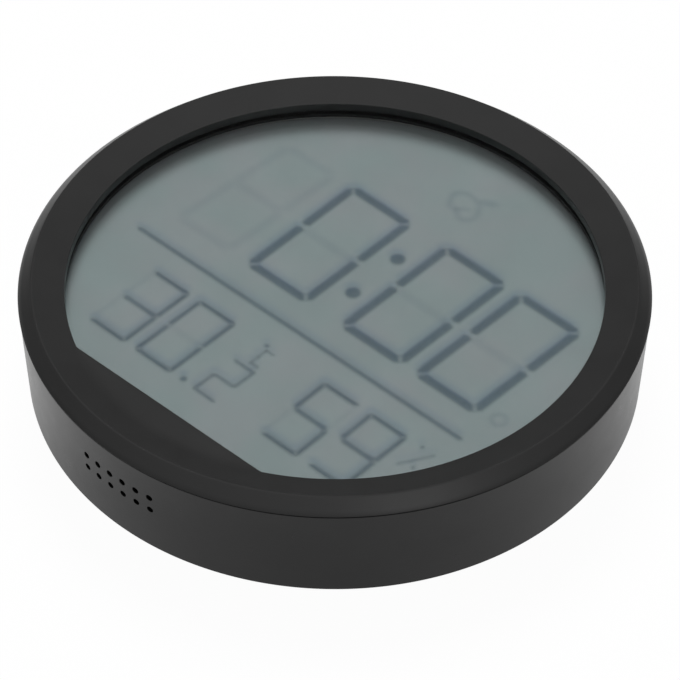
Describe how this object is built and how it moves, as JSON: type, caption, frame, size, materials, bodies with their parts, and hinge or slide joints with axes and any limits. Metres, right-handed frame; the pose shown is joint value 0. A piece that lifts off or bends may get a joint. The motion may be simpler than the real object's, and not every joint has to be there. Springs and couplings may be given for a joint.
{
  "type": "thermometer hygrometer clock",
  "caption": "Round digital clock with temperature and humidity display, chamfered front ring, side vents, battery bay, back buttons, keyhole and fold-out stand.",
  "frame": {"origin": "centre of the back face, which lies on the surface", "axes": "+Z out of the display, +Y towards 12 o'clock, +X to the right as the display is read"},
  "size_m": [0.153, 0.153, 0.029],
  "materials": {
    "case_black": "fine satin moulded black",
    "bezel_black": "smooth satin black",
    "inner_black": "matt",
    "inner_white": "matt",
    "adhesive": "matt tape",
    "lens_clear": "polished clear acrylic",
    "display_glass": "polished",
    "polariser_film": "anti-glare film",
    "reflector_grey": "satin silver-grey film",
    "connector_rubber": "matt silicone",
    "board_green": "solder mask",
    "resin_black": "semi-gloss",
    "bright_metal": "nickel plated",
    "screw_steel": "zinc plated",
    "cell_jacket": "printed film jacket",
    "lead_red": "PVC insulation",
    "lead_black": "PVC insulation",
    "pad_rubber": "matt",
    "button_grey": "satin"
  },
  "bodies": {
    "case": {"rear_case": "case_black", "front_bezel": "bezel_black", "lens_adhesive": "adhesive", "front_lens": "lens_clear", "display_frame": "inner_black", "lcd_front_polariser": "polariser_film", "lcd_front_glass": "display_glass", "lcd_rear_glass": "display_glass", "lcd_reflector": "reflector_grey", "lcd_holder": "inner_white", "elastomer_connector": "connector_rubber", "main_board": "board_green", "controller_chip": "resin_black", "quartz_crystal": "bright_metal", "capacitor": "resin_black", "buzzer": "resin_black", "humidity_sensor": "inner_white", "thermistor": "resin_black", "switch_body_mode": "resin_black", "switch_body_up": "resin_black", "switch_body_down": "resin_black", "board_screws": "screw_steel", "holder_screws": "screw_steel", "case_screws": "screw_steel", "stand_pin": "screw_steel", "battery_lower": "cell_jacket", "battery_upper": "cell_jacket", "contact_plates": "bright_metal", "contact_spring_lower": "bright_metal", "contact_spring_upper": "bright_metal", "battery_lead_positive": "lead_red", "battery_lead_negative": "lead_black"},
    "door": {"battery_door": "case_black"},
    "stand": {"stand_leg": "case_black", "stand_foot_pad": "pad_rubber"},
    "mode_button": {"button_mode": "button_grey", "switch_plunger_mode": "resin_black"},
    "up_button": {"button_up": "button_grey", "switch_plunger_up": "resin_black"},
    "down_button": {"button_down": "button_grey", "switch_plunger_down": "resin_black"}
  },
  "joints": [
    {"name": "battery_door_swing", "type": "hinge", "parent": "case", "child": "door", "pos_m": [-0.02635, 0.02125, 0.0002], "axis": [0, 1, 0], "range_deg": [0, 80]},
    {"name": "stand_fold", "type": "hinge", "parent": "case", "child": "stand", "pos_m": [0, -0.057, 0.0032], "axis": [-1, 0, 0], "range_deg": [0, 95]},
    {"name": "mode_press", "type": "slide", "parent": "case", "child": "mode_button", "axis": [0, 0, 1], "range_m": [0, 0.0005], "stiffness_N_per_m": 600, "springref_m": -0.0005},
    {"name": "up_press", "type": "slide", "parent": "case", "child": "up_button", "axis": [0, 0, 1], "range_m": [0, 0.0005], "stiffness_N_per_m": 600, "springref_m": -0.0005},
    {"name": "down_press", "type": "slide", "parent": "case", "child": "down_button", "axis": [0, 0, 1], "range_m": [0, 0.0005], "stiffness_N_per_m": 600, "springref_m": -0.0005}
  ]
}
